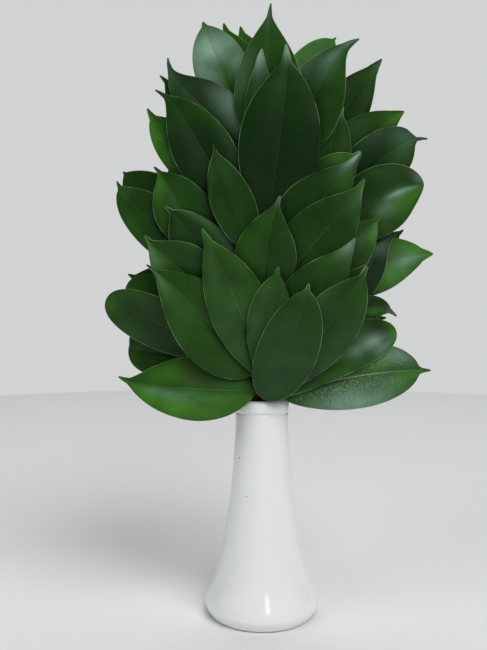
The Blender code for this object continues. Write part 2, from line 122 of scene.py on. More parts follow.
# What the leaves have beyond the solid part: margins turned down, a groove along the midrib, and
# a stalk that runs on under the blade as a rib
MARGIN_DROP = 0.3
GROOVE_DEPTH = 0.2
GROOVE_REACH = 0.6
STALK_ROOT_RADIUS = 0.95
STALK_RADIUS = 0.8
RIB_TIP_RADIUS = 0.14
RIB_FIRST_ROW = 3
RIB_END = 0.93

# What the stems have beyond it: a swelling at each leaf, and a bud as distance and radius
SWELLING = 0.28
SWELLING_REACH = 2.2
BUD = ((1.0, 1.15), (2.0, 0.95), (3.0, 0.55), (3.8, 0.12))

# The finishes of a twig, as its material slots number them
LEAF = 0
BARK = 1

# Where stalks and stems lie on a blade's own map: far from its pale margin
OFF_BLADE = (0.0, 0.0, 10.0)

# Edges that turn by more degrees than this stay sharp
SHARP_ON_TWIG = 55.0
SHARP_ON_VASE = 50.0

# Colours that no setting changes
SPECK = (0.34, 0.45, 0.35)
STALK = (0.085, 0.130, 0.030)
BARK_FLECK = (0.16, 0.13, 0.09)
GLAZE_SHADE = (0.82, 0.84, 0.86)
GROOVE_GREY = (0.62, 0.66, 0.70)
PINHOLE_PIT = (0.20, 0.17, 0.14)
CLEAR_WATER = (0.86, 0.93, 0.92)

# The camera that takes the picture
LENS = 38.77
SENSOR_WIDTH = 36.0
CAMERA_TILT = 88.5
CAMERA_TURN = 1.5

# The stage, in metres
FLOOR_RADIUS = 1.2
FLOOR_SIDES = 96
LIT_POINT = (0.0, 0.0, 0.2)

# Each soft light: place, size, colour, the setting that holds its power, and whether it glints
SOFTBOXES = {
    "key_light": ((1.6, -2.2, 3.2), (2.4, 2.4), (1.0, 0.985, 0.96), "key_power", False),
    "fill_light": ((-2.6, -1.8, 2.2), (2.4, 2.4), (0.93, 0.97, 1.0), "fill_power", False),
    "top_light": ((0.0, 1.4, 2.8), (2.4, 2.4), (1.0, 1.0, 1.0), "fill_power", False),
    "window_light": ((0.42, -1.9, 1.02), (0.3, 0.85), (1.0, 1.0, 1.0), "window_power", True),
}


def leaf(base, tip, width, bow=0.0, hook=0.0, heel=1.0, point=0.85, drip=0.07, beak=1.6,
         fresh=0.12, painted_sheen=(), glow=(), brown_and_shade=(), dust=()):
    """Describe one leaf: base and tip as seen, width, how it bends, and its own colouring.

    bow swings the midrib to its right-hand side and hook bends the tip that way. heel and
    point set how fast the blade narrows at its two ends. drip is the share of its length
    that is the drawn-out tip, and beak is half the width there.
    fresh goes from an old dark leaf at 0 to a young yellow-green one at 1. The four patch lists,
    in order, give painted sheen (pale patches that stand for light reflected off the blade),
    brighter green (partly younger tissue, partly painted light where the blade is lit), brown
    (real browning, and painted shade on some leaves) and pale specks, each as place along,
    place across, reach along, reach across and strength.
    """
    return dict(base=base, tip=tip, width=width, bow=bow, hook=hook, heel=heel, point=point,
                drip=drip, beak=beak, fresh=fresh, painted_sheen=painted_sheen, glow=glow, brown_and_shade=brown_and_shade, dust=dust)


def sprig(name, foot, way, *leaves):
    """Describe one twig: its foot in the neck, its way up as seen, its leaves, rear ones first."""
    return dict(name=name, foot=foot, way=way, leaves=leaves)


# The twigs, rear ones first
TWIGS = (
    sprig("sprig_back_right", (7, 7.5), ((8, 142), (26, 172), (40, 205), (44, 238)),
          leaf((40, 238), (52, 322), 34, fresh=0.1),
          leaf((44, 236), (86, 284), 34, fresh=0.1),
          leaf((42, 214), (20, 280), 34, fresh=0.1),
          leaf((41, 205), (88.5, 241), 32, fresh=0.1),
          leaf((30, 178), (72, 222), 34, fresh=0.1),
          leaf((28, 172), (78, 186), 26, bow=-3, fresh=0.1),
          leaf((16, 154), (66, 172), 30, fresh=0.1)),
    sprig("sprig_back_left", (-7, 6.5), ((-8, 142), (-24, 172), (-36, 205), (-40, 236)),
          leaf((-38, 238), (-51, 306), 29),
          leaf((-40, 232), (-87.5, 278), 36, point=0.8, drip=0.02, beak=1, fresh=0.2),
          leaf((-37, 216), (-22, 280), 30),
          leaf((-35, 200), (-84.5, 213.5), 32, bow=-3),
          leaf((-32, 190), (-86.5, 203.5), 28, bow=1.5, point=0.5, drip=0, beak=0.3, fresh=0.3),
          leaf((-24, 169), (-84, 172), 32, point=0.42, drip=0, beak=0.3, fresh=0.15),
          leaf((-18, 157), (-84.5, 166.5), 31, point=0.45, drip=0, beak=0.3, fresh=0.14,
               glow=((0.97, -0.4, 0.1, 1, 0.1),))),
    sprig("sprig_back", (-0.5, 5.5), ((-1, 145), (2, 200), (0, 255), (1, 305)),
          leaf((0, 306), (-13.5, 368), 32, beak=2.4, fresh=0.3),
          leaf((-3, 302), (-24, 370), 32, beak=2.4, fresh=0.26),
          leaf((5, 297), (46, 360.5), 34, hook=1.5, heel=0.7, point=0.6, drip=0.03, beak=1, fresh=0.6,
               painted_sheen=((0.8, 0, 0.5, 1.5, 0.12),)),
          leaf((4, 284), (34, 340), 34),
          leaf((-1, 264), (-36, 324), 38),
          leaf((4, 232), (40, 292), 38),
          leaf((-2, 205), (-38, 262), 38),
          leaf((5, 178), (36, 240), 38),
          leaf((-2, 162), (-38, 214), 36)),
    sprig("sprig_right", (6, 2), ((7, 145), (17, 195), (28, 240), (35, 276)),
          leaf((35, 281), (74.5, 347), 30, bow=-3.5, heel=1.1, point=1.05, beak=3, fresh=0.1,
               painted_sheen=((0.96, 0.2, 0.07, 0.8, 0.16),), glow=((0.85, 0.3, 0.15, 1.2, 0.1),)),
          leaf((36, 272), (88.5, 314.5), 31, bow=-2, hook=0.7, point=0.9, drip=0.05, beak=3, fresh=0.17,
               glow=((0.95, 0.3, 0.15, 0.8, 0.4),)),
          leaf((34, 259), (103, 297.5), 35.5, bow=0.2, hook=4.8, heel=0.75, point=0.47, drip=0.09,
               fresh=0.06, painted_sheen=((0.87, -0.3, 0.13, 0.9, 0.13), (0.68, -0.95, 0.15, 0.3, 0.06)),
               glow=((0.85, 0.3, 0.2, 0.9, 0.12),)),
          leaf((36, 250), (50.5, 317.5), 27, bow=-2, point=0.75, beak=2, fresh=0.15,
               painted_sheen=((0.97, 0.2, 0.06, 1, 0.3),)),
          leaf((35, 240), (61.5, 290), 31, bow=-7.5, heel=1.05, point=0.8,
               painted_sheen=((0.98, -0.1, 0.07, 1, 0.3),), glow=((0.82, -0.2, 0.13, 0.9, 0.3),))),
    sprig("sprig_left", (-4.5, 1.5), ((-5, 145), (-9, 205), (-12, 250), (-9, 292)),
          leaf((-8, 298), (-37, 371), 35, heel=0.95, point=0.65, drip=0.04, beak=2.5, fresh=0.3,
               painted_sheen=((0.78, -0.2, 0.13, 1.5, 0.74), (0.6, -0.75, 0.18, 0.5, 0.65),
                    (0.62, 0.7, 0.15, 0.4, 0.4)), brown_and_shade=((0.4, 0.9, 0.12, 0.5, 0.4),)),
          leaf((-10, 286), (-64, 338), 34),
          leaf((-10, 287), (-59, 349), 38, bow=0.7, hook=5, heel=0.9, point=1.15, fresh=0.08,
               painted_sheen=((0.36, 0.72, 0.18, 0.5, 0.4), (0.66, 0, 0.1, 0.4, 0.06), (0.92, -0.2, 0.12, 1, 0.1)),
               glow=((0.8, -0.8, 0.15, 0.4, 0.1),), brown_and_shade=((0.62, 0.6, 0.12, 0.5, 0.5),),
               dust=((0.25, 0.6, 0.05, 0.25, 1),)),
          leaf((-13, 246), (-72, 317.5), 32, bow=2.8, hook=2.8, heel=0.95, point=0.7, beak=3, fresh=0.22,
               glow=((0.87, -0.85, 0.22, 0.7, 0.5),)),
          leaf((-8, 248), (-67, 329), 39, hook=-4.2, heel=1.1, point=0.95, fresh=0.05,
               glow=((0.97, 0.3, 0.1, 1, 0.2), (0.75, 0.95, 0.3, 0.3, 0.12),
                     (0.82, 0, 0.12, 1.5, 0.09)))),
    sprig("sprig_centre", (1.5, -2.5), ((1, 145), (3, 200), (3, 240), (4, 280)),
          leaf((11, 279), (60.5, 359.5), 40, bow=-2.6, hook=5, heel=0.85, point=0.95, drip=0.08,
               beak=3.4, fresh=0.15,
               painted_sheen=((0.95, -0.35, 0.07, 0.7, 0.35), (0.84, -0.25, 0.15, 0.5, 0.24),
                    (0.65, -0.9, 0.15, 0.35, 0.16)), glow=((0.82, 0.5, 0.15, 0.7, 0.1),)),
          leaf((4, 280), (5.5, 382), 45, hook=1, heel=0.9, point=1.05, fresh=0.2,
               painted_sheen=((0.93, -0.2, 0.08, 0.8, 0.14), (0.6, -0.9, 0.15, 0.35, 0.12))),
          leaf((1, 276), (0, 354), 23, hook=1.2, heel=0.95, point=1.05, drip=0.06, beak=2.4, fresh=0.13,
               painted_sheen=((0.97, -0.3, 0.13, 1.3, 0.7),)),
          leaf((3, 243), (15, 357), 52, bow=1.9, hook=-1.1, heel=0.85, point=0.8, drip=0.1, beak=4.5,
               fresh=0.045, painted_sheen=((0.985, 0.2, 0.06, 1.3, 0.9),), glow=((0.82, 0, 0.18, 1.5, 0.08),))),
    sprig("sprig_side_right", (8, -4), ((11, 145), (26, 172), (38, 200), (42, 238)),
          leaf((42, 199), (107, 226), 34, bow=-6.5, heel=0.75, point=0.7, drip=0.09, beak=5.6,
               fresh=0.34, painted_sheen=((0.78, 0.2, 0.13, 0.35, 0.45), (0.72, 0.2, 0.25, 0.9, 0.12)),
               glow=((0.85, -0.4, 0.18, 0.6, 0.5), (0.98, 0, 0.1, 1.2, 0.5),
                     (0.68, 0.5, 0.2, 0.5, 0.35)), brown_and_shade=((0.66, -0.45, 0.2, 0.35, 0.35),)),
          leaf((44, 188), (85, 240), 23, bow=1.5, hook=2.5, heel=0.85, point=1.1, fresh=0.04,
               painted_sheen=((0.82, -0.2, 0.12, 1, 0.25), (0.5, 0, 0.5, 1, 0.04))),
          leaf((44, 228.5), (101, 269), 43, bow=-7.5, hook=1.5, heel=0.8, point=0.6, drip=0,
               painted_sheen=((0.8, 0.08, 0.14, 0.11, 0.6), (0.6, 0.3, 0.12, 0.22, 0.25),
                    (0.97, -0.6, 0.04, 0.6, 0.18)),
               glow=((0.85, 0.5, 0.25, 0.5, 0.4), (0.5, 0.5, 0.2, 0.5, 0.22),
                     (0.98, -0.7, 0.06, 0.5, 0.3)),
               brown_and_shade=((0.94, -0.85, 0.06, 0.35, 1.2), (0.42, 0.1, 0.12, 0.25, 0.35))),
          leaf((35, 178), (84.5, 187), 18, bow=-5.5, hook=4, point=0.65, fresh=0.14,
               painted_sheen=((0.95, 0, 0.06, 1.2, 0.2),), glow=((0.72, 0.35, 0.2, 0.35, 0.3),)),
          leaf((36, 191), (75, 250), 28, bow=-4.3, heel=0.9, point=0.7, fresh=0.23,
               painted_sheen=((0.86, 0.6, 0.08, 0.4, 0.12), (0.74, 0.15, 0.15, 0.25, 0.14)),
               glow=((0.85, 0.6, 0.12, 0.6, 0.5),)),
          leaf((27, 168), (65, 219), 26, hook=2),
          leaf((12, 136), (106, 153), 42, bow=-4.5, heel=0.7, point=0.55, beak=2.2, fresh=0.26,
               painted_sheen=((0.46, 0.85, 0.24, 0.45, 0.6), (0.78, -0.7, 0.1, 0.35, 0.4),
                    (0.68, 0.35, 0.15, 0.25, 0.15)),
               glow=((0.64, -0.4, 0.1, 0.35, 0.6), (0.85, 0.4, 0.13, 0.5, 0.3)),
               brown_and_shade=((0.66, -0.3, 0.12, 0.3, 0.35),),
               dust=((0.4, 0.45, 0.35, 0.8, 1), (0.66, -0.45, 0.2, 0.4, 0.85))),
          leaf((12, 137), (84.5, 177), 31, bow=-6.3, heel=0.65, point=0.45, drip=0, beak=0.6, fresh=0.1,
               painted_sheen=((0.81, 0.15, 0.1, 0.35, 0.6), (0.88, 0.6, 0.08, 0.35, 0.38),
                    (0.68, 0.3, 0.08, 0.3, 0.35), (0.55, 0.05, 0.12, 0.2, 0.12)),
               glow=((0.66, -0.6, 0.1, 0.3, 0.6), (0.54, 0.1, 0.14, 0.35, 0.4),
                     (0.99, 0, 0.05, 1.2, 0.5), (0.5, 0.9, 0.5, 0.4, 0.2)),
               brown_and_shade=((0.47, 0.15, 0.12, 0.25, 0.45), (0.8, -0.5, 0.1, 0.35, 0.5)))),
    sprig("sprig_side_left", (-8.5, -3), ((-11, 145), (-20, 170), (-25, 195), (-26, 222)),
          leaf((-28, 214), (-91.5, 272), 35, bow=-1, hook=2.8, heel=0.6, point=0.62, drip=0.05,
               fresh=0.11,
               glow=((0.7, -0.8, 0.5, 0.4, 0.14), (0.94, 0, 0.09, 1.2, 0.15),
                     (0.5, -0.5, 0.2, 0.4, 0.08))),
          leaf((-24, 224), (-68, 281), 37, bow=-3.8, hook=-2.5, heel=1.15, point=0.9, fresh=0.15,
               glow=((0.85, -0.6, 0.15, 0.5, 0.4), (0.7, -0.3, 0.3, 0.6, 0.1))),
          leaf((-18, 202), (-61, 256), 38, hook=-1.7, heel=0.6, point=0.75, fresh=0.09,
               painted_sheen=((0.5, 0.92, 0.3, 0.2, 0.14),), glow=((0.6, 0.85, 0.4, 0.35, 0.16),)),
          leaf((-27, 191), (-74, 238), 38, bow=1.6, hook=1.6, heel=1.05, point=1.05, fresh=0.17,
               painted_sheen=((0.84, -0.7, 0.14, 0.4, 0.2),), glow=((0.8, -0.6, 0.2, 0.45, 0.35),),
               brown_and_shade=((0.85, -0.6, 0.12, 0.3, 0.3),)),
          leaf((-18, 159), (-98.5, 198), 32, heel=0.75, point=0.45, drip=0, beak=0.3, fresh=0.13,
               glow=((0.96, -0.2, 0.09, 1.2, 0.22), (0.8, -0.9, 0.15, 0.4, 0.12),
                     (0.85, 0.8, 0.12, 0.3, 0.14)), brown_and_shade=((0.62, 0.85, 0.13, 0.3, 0.6),)),
          leaf((-5, 147), (-46, 156), 30, heel=0.6, fresh=0.08),
          leaf((-4, 139.5), (-91, 148.5), 42, bow=-2, hook=2.3, heel=0.7, beak=2.2, fresh=0.28,
               painted_sheen=((0.65, -0.25, 0.24, 0.2, 0.22), (0.45, -0.3, 0.25, 0.15, 0.08)),
               glow=((0.68, -0.65, 0.4, 0.45, 0.45), (0.6, 0.55, 0.13, 0.4, 0.22),
                     (0.33, -0.4, 0.12, 0.3, 0.2)), brown_and_shade=((0.42, 0.55, 0.16, 0.4, 0.6),))),
    sprig("sprig_middle", (-3, -6.5), ((-2, 145), (1, 175), (3, 205), (2, 228)),
          leaf((7, 229), (62, 289), 40, bow=1.2, heel=0.85, point=1.15, beak=3, fresh=0.1,
               painted_sheen=((0.95, -0.5, 0.1, 0.7, 0.85), (0.9, 0.3, 0.08, 0.5, 0.06)),
               glow=((0.8, 0.25, 0.12, 0.8, 0.22),)),
          leaf((-4, 223), (-30.5, 295), 28, bow=-1, hook=1, heel=0.9, fresh=0.13),
          leaf((9, 203), (64, 273), 42, hook=-1.9, heel=0.85, point=1, beak=2.8, fresh=0.14,
               painted_sheen=((0.93, 0.75, 0.08, 0.35, 0.16), (0.82, 0.3, 0.08, 0.4, 0.08)),
               glow=((0.95, 0, 0.1, 1.2, 0.28), (0.82, 0.5, 0.1, 0.5, 0.12))),
          leaf((2, 192), (11.5, 262.5), 40, bow=-4, heel=1.05, point=1.15, fresh=0.16,
               painted_sheen=((0.97, 0, 0.06, 1.2, 0.22),), glow=((0.45, -0.6, 0.35, 0.5, 0.1),)),
          leaf((6, 167), (58.5, 236), 37, hook=-1.2, heel=0.93, point=1.05, beak=3.4, fresh=0.16,
               painted_sheen=((0.94, -0.2, 0.09, 1, 0.55),),
               glow=((0.82, -0.5, 0.1, 0.5, 0.2), (0.82, 0.4, 0.1, 0.6, 0.1))),
          leaf((-6, 150), (-73, 219.5), 48, bow=2, hook=-1.2, heel=0.6, point=0.9, fresh=0.2,
               painted_sheen=((0.9, -0.45, 0.1, 0.3, 0.22),), glow=((0.8, -0.5, 0.25, 0.5, 0.08),)),
          leaf((-3, 150), (-37.5, 242), 39, bow=4.2, hook=1.1, heel=0.8, drip=0.09, beak=3.6, fresh=0.22,
               painted_sheen=((0.35, -0.3, 0.3, 0.8, 0.04),), glow=((0.97, 0.6, 0.08, 0.8, 0.25),),
               brown_and_shade=((0.85, -0.3, 0.1, 0.3, 0.15),))),
    sprig("sprig_front", (2.5, -9), ((3, 141), (2, 150)),
          leaf((-2, 148), (10.5, 218), 27, bow=-0.5, point=0.77, beak=2.2, fresh=0.2,
               painted_sheen=((0.45, -0.5, 0.3, 0.6, 0.05),), glow=((0.98, 0, 0.06, 1.2, 0.15),)),
          leaf((9, 137), (66, 218), 37, bow=1.2, hook=-1.3, point=0.75, beak=2.2, fresh=0.16,
               painted_sheen=((0.45, 0.8, 0.3, 0.4, 0.05),),
               glow=((0.92, 0.3, 0.15, 0.6, 0.1), (0.6, -0.9, 0.3, 0.2, 0.14))),
          leaf((0.8, 134.8), (29.5, 207.5), 39, bow=3.4, heel=0.5, point=0.6, drip=0.06, fresh=0.15,
               painted_sheen=((0.3, 0, 0.35, 1.5, 0.035),), glow=((0.97, 0, 0.08, 1.2, 0.15),))),
)


def colour_setting(name, description, default):
    return FloatVectorProperty(name=name, description=description, default=default, size=3,
                               min=0.0, max=1.0, subtype="COLOR")


def thin_setting(name, description, default, least, most, precision):
    return FloatProperty(name=name, description=description, default=default, min=least,
                         max=most, unit="LENGTH", precision=precision)


def power_setting(name, description, default):
    return FloatProperty(name=name, description=description, default=default, min=0.0,
                         unit="POWER")


class LeafSettings(bpy.types.PropertyGroup):
    thickness: thin_setting("Blade thickness", "Thickness of a leaf blade beside its midrib",
                            0.00048, 0.0002, 0.0006, 5)
    wave: thin_setting("Margin wave", "How far the margins wave up and down",
                       0.0003, 0.0, 0.0005, 5)
    vein_spacing: thin_setting("Vein spacing", "Distance between the side veins along the midrib",
                               0.0078, 0.003, 0.02, 4)
    dark: colour_setting("Old leaf", "Upper face of an old leaf", (0.004, 0.016, 0.005))
    young: colour_setting("Young leaf", "Upper face of a young leaf", (0.070, 0.242, 0.023))
    under: colour_setting("Underside", "Lower face of the leaves", (0.070, 0.130, 0.036))
    # The margin line is partly a painted highlight for light caught by the thin rim
    margin: colour_setting("Margin", "Thin pale line round each blade", (0.270, 0.400, 0.200))
    # Painted sheen: pale patches that stand for light reflected off the upper faces
    painted_sheen: colour_setting("Painted sheen", "Pale patches on the upper faces", (0.265, 0.430, 0.335))
    # Brown patches: real browning, and painted shade on some leaves
    brown_and_shade: colour_setting("Browning and painted shade", "Brown patches on a few leaves", (0.042, 0.034, 0.014))


class TwigSettings(bpy.types.PropertyGroup):
    green_bark: colour_setting("Young bark", "Bark near the leaves", (0.070, 0.095, 0.028))
    brown_bark: colour_setting("Old bark", "Bark near the cut foot", (0.075, 0.048, 0.028))


class VaseSettings(bpy.types.PropertyGroup):
    segments: IntProperty(
        name="Segments", description="Steps round the vase", default=112, min=24, max=256)
    glaze: colour_setting("Glaze", "Colour of the white glaze", (0.87, 0.88, 0.89))
    bare_foot: colour_setting("Bare foot", "Unglazed ring that the vase stands on",
                              (0.62, 0.59, 0.54))


class StageSettings(bpy.types.PropertyGroup):
    floor: colour_setting("Floor", "Colour of the plain floor", (0.80, 0.81, 0.82))
    surround: colour_setting("Surround", "Colour of what shows behind the floor",
                             (0.64, 0.65, 0.65))
    key_power: power_setting("Key light", "Power of the main softbox", 115.0)
    fill_power: power_setting("Fill lights", "Power of each softbox on the left and behind", 38.0)
    window_power: power_setting("Window light", "Power of the narrow light that gives the glints",
                                3.7)
    ambient: FloatProperty(
        name="Ambient light", description="Brightness of the dim light from all round",
        default=0.08, min=0.0)


class Reading:
    """A socket of a material's nodes. Reckoning with it adds Math nodes."""

    def __init__(self, finish, socket):
        self.finish = finish
        self.socket = socket

    def reckon(self, operation, *values):
        return self.finish.add("ShaderNodeMath", {"operation": operation},
                               dict(enumerate(values)))

    def __add__(self, other):
        return self.reckon("ADD", self, other)

    def __radd__(self, other):
        return self.reckon("ADD", other, self)

    def __sub__(self, other):
        return self.reckon("SUBTRACT", self, other)

    def __rsub__(self, other):
        return self.reckon("SUBTRACT", other, self)

    def __mul__(self, other):
        return self.reckon("MULTIPLY", self, other)

    def __rmul__(self, other):
        return self.reckon("MULTIPLY", other, self)

    def __truediv__(self, other):
        return self.reckon("DIVIDE", self, other)

    def __rtruediv__(self, other):
        return self.reckon("DIVIDE", other, self)

    def __abs__(self):
        return self.reckon("ABSOLUTE", self)

    def part_of_one(self):
        return self.reckon("FRACT", self)

    def above_zero(self):
        return self.reckon("GREATER_THAN", self, 0.0)

    def span(self, low, high):
        """0 where this is at low, 1 at high, and a smooth step between them."""
        return self.finish.add("ShaderNodeMapRange", {"interpolation_type": "SMOOTHSTEP"},
                               {"Value": self, "From Min": low, "From Max": high})


class Finish:
    """One material, or the surround, being made from nodes."""

    def __init__(self, holder, shader="Principled BSDF"):
        self.holder = holder
        holder.use_nodes = True
        self.nodes = holder.node_tree.nodes
        self.links = holder.node_tree.links
        self.shader = self.nodes[shader]

    def add(self, kind, settings=None, sockets=None, output=0):
        """Add a node of a type, with its settings and the values or links of its sockets."""
        node = self.nodes.new(kind)
        for name, value in (settings or {}).items():
            setattr(node, name, value)
        for key, value in (sockets or {}).items():
            self.feed(node.inputs[key], value)
        return Reading(self, node.outputs[output])

    def feed(self, socket, value):
        if isinstance(value, Reading):
            self.links.new(value.socket, socket)
        elif hasattr(value, "__len__") and socket.type == "RGBA":
            socket.default_value = (*value, 1.0)
        else:
            socket.default_value = value

    def parts(self, reading):
        """The three numbers of a vector."""
        first = self.add("ShaderNodeSeparateXYZ", {}, {0: reading})
        return [Reading(self, socket) for socket in first.socket.node.outputs]

    def mix(self, share, first, second):
        """A colour between two colours. Sockets 0, 6 and 7 of Mix are its factor and colours."""
        return self.add("ShaderNodeMix", {"data_type": "RGBA", "clamp_factor": True},
                        {0: share, 6: first, 7: second}, output=2)

    def noise(self, place, scale, detail=2.0, roughness=0.5):
        return self.add("ShaderNodeTexNoise", {},
                        {"Vector": place, "Scale": scale, "Detail": detail,
                         "Roughness": roughness})

    def place(self):
        return self.add("ShaderNodeTexCoord", output=3)

    def attribute(self, name):
        return self.add("ShaderNodeAttribute", {"attribute_name": name}, output=1)

    def bump(self, height, strength=1.0):
        """Raise the surface by a height in millimetres."""
        return self.add("ShaderNodeBump", {},
                        {"Strength": strength, "Distance": MM, "Height": height})

    def finish_with(self, **values):
        """Set or link the shader's sockets, named with _ for a space."""
        for name, value in values.items():
            self.feed(self.shader.inputs[name.replace("_", " ")], value)
        return self.holder


def leaf_finish(look):
    """Leathery evergreen leaf: mottled green, veins, pale margin with a painted rim highlight, painted
    sheen, brown and painted shade, paler below.
    """
    finish = Finish(bpy.data.materials.new("sakaki_leaf"))
    along, across, rim = finish.parts(finish.attribute("blade"))
    # tone holds how young each place looks, the painted sheen that stands for reflected light, and the
    # pale specks
    fresh, painted_sheen, dust = finish.parts(finish.attribute("tone"))
    # side is 1 on the upper face, 0 on the lower one and -1 on the stalk; the third number is browning,
    # with painted shade on some leaves
    side, chance, brown_and_shade = finish.parts(finish.attribute("part"))
    upper = side.span(0.0, 1.0)
    place = finish.place()
    mottle = finish.noise(place, 70.0, detail=3.0)
    grain = finish.noise(place, 1500.0)
    spacing = look.vein_spacing / MM
    aside = abs(across)
    row = (along - aside * 0.85 + aside * aside * 0.006) / spacing
    row = row + chance * 7.0 + across.above_zero() * 0.45 + (mottle - 0.5) * 0.35
    from_vein = abs(row.part_of_one() - 0.5) * spacing
    vein = (1 - from_vein.span(0.1, 0.55)) * rim.span(1.0, 5.0)
    quilt = from_vein.span(0.0, 0.5 * spacing)
    rib = 1 - aside.span(0.2, 0.6)
    edge = 1 - rim.span(0.05, 0.38)
    # fresh already holds the glow patches: brighter green, partly younger tissue and partly painted
    # light where the blade is lit
    tone = fresh * (1 + (mottle - 0.5) * 1.2) + (grain - 0.5) * 0.06
    colour = finish.mix(tone, look.dark, look.young)
    # Brown patches: real browning, and painted shade on some leaves
    colour = finish.mix(brown_and_shade * (0.6 + (mottle - 0.5) * 2.5), colour, look.brown_and_shade)
    colour = finish.mix(vein * 0.04, colour, look.under)
    # Painted sheen: pale patches that stand for light reflected off the upper face
    colour = finish.mix(painted_sheen * (1 + (mottle - 0.5) * 1.2), colour, look.painted_sheen)
    # Inside the painted sheen the veins and midrib stay darker
    colour = finish.mix((vein * 0.12 + rib * 0.3) * painted_sheen * (1 - dust), colour, look.dark)
    colour = finish.mix(rib * 0.03, colour, look.margin)
    specks = finish.noise(place, 1300.0, detail=3.0, roughness=0.65).span(0.5, 0.64)
    colour = finish.mix((specks * 0.6 + rib) * dust * 0.9, colour, SPECK)
    below = finish.mix(vein * 0.35 + rib * 0.5, look.under, look.margin)
    below = finish.mix((mottle - 0.35) * 0.5, below, look.young)
    colour = finish.mix(1 - upper, colour, below)
    colour = finish.mix(0 - side * 0.8, colour, STALK)
    # Pale line round each blade: a pale margin, and a painted highlight for light caught by the thin rim
    colour = finish.mix(edge * (0.5 + (mottle - 0.5) * 3.0), colour, look.margin)
    rough = 0.38 + (mottle - 0.5) * 0.16 + (1 - upper) * 0.18 + specks * dust * 0.2
    height = quilt * 0.03 + grain * 0.02 - vein * 0.01
    return finish.finish_with(
        Base_Color=colour, Roughness=rough, Normal=finish.bump(height, 0.7), IOR=1.38,
        Specular_IOR_Level=0.22)


def bark_finish(look):
    """Bark of a young twig: green above, browner and flecked towards the cut foot."""
    finish = Finish(bpy.data.materials.new("sakaki_bark"))
    place = finish.place()
    height = finish.parts(place)[2]
    fleck = finish.noise(place, 900.0, detail=3.0)
    patch = finish.noise(place, 130.0)
    share = 1 - (height + (patch - 0.5) * 0.06).span(0.10, 0.22)
    colour = finish.mix(share, look.green_bark, look.brown_bark)
    colour = finish.mix(fleck.span(0.55, 0.7) * 0.4, colour, BARK_FLECK)
    return finish.finish_with(
        Base_Color=colour, Roughness=0.55 + fleck * 0.2, Normal=finish.bump(fleck * 0.12))


def glaze_finish(look):
    """White glaze with a faint cool cast, a little greyer in the groove, with two pinholes and a bare
    ring.
    """
    finish = Finish(bpy.data.materials.new("white_glaze"))
    place = finish.place()
    x, y, z = finish.parts(place)
    cloud = finish.noise(place, 35.0)
    ripple = finish.noise(place, 160.0, detail=1.0)
    colour = finish.mix(cloud * 0.25, look.glaze, GLAZE_SHADE)
    # A little greyer along the groove under the lip
    groove_grey = 1 - abs(z - GROOVE_HEIGHT * MM).span(0.2 * MM, 1.6 * MM)
    colour = finish.mix(groove_grey * 0.05, colour, GROOVE_GREY)
    pit = 0.0
    for across, up in PINHOLES:
        gap = (x - across * MM) * (x - across * MM) + (z - up * MM) * (z - up * MM)
        spot = 1 - gap.span(PINHOLE_CORE * MM * MM, PINHOLE_BLUR * MM * MM)
        pit = spot * (0 - y).above_zero() + pit
    colour = finish.mix(pit * 0.8, colour, PINHOLE_PIT)
    bare = 1 - z.span(0.3 * MM, 0.8 * MM)
    colour = finish.mix(bare, colour, look.bare_foot)
    rough = 0.1 + cloud * 0.06 + bare * 0.55
    return finish.finish_with(
        Base_Color=colour, Roughness=rough, Coat_Weight=0.3, Coat_Roughness=0.05,
        Normal=finish.bump(ripple * 0.05 - pit * 0.12 + bare * cloud * 0.1))


def water_finish():
    """Still clear water with the faintest swell on its surface."""
    finish = Finish(bpy.data.materials.new("clear_water"))
    swell = finish.noise(finish.place(), 90.0, detail=1.0)
    return finish.finish_with(
        Base_Color=CLEAR_WATER, Roughness=0.02, IOR=1.33, Transmission_Weight=1.0,
        Normal=finish.bump(swell * 0.1))


def floor_finish(look):
    finish = Finish(bpy.data.materials.new("pale_floor"))
    cloud = finish.noise(finish.place(), 6.0)
    colour = finish.mix(cloud * 0.2, look.floor, [c * 0.97 for c in look.floor])
    return finish.finish_with(Base_Color=colour, Roughness=0.6)


def surround_finish(look):
    """Dim light from all round gives the reflections, and the camera sees a plain pale colour."""
    finish = Finish(bpy.data.worlds.new("studio"), "Background")
    to_camera = finish.add("ShaderNodeLightPath")
    strength = finish.add("ShaderNodeMapRange", {}, {"Value": to_camera, "To Min": look.ambient})
    return finish.finish_with(Color=look.surround, Strength=strength)


def seen(x, z, d):
    """Carry a point seen at x, z on the axis plane to the depth d in front of that plane."""
    near = 1.0 - d / EYE_DISTANCE
    return np.stack(np.broadcast_arrays(x * near, -d, EYE_HEIGHT + (z - EYE_HEIGHT) * near), -1)


def unit(v):
    return v / np.linalg.norm(v, axis=-1, keepdims=True)


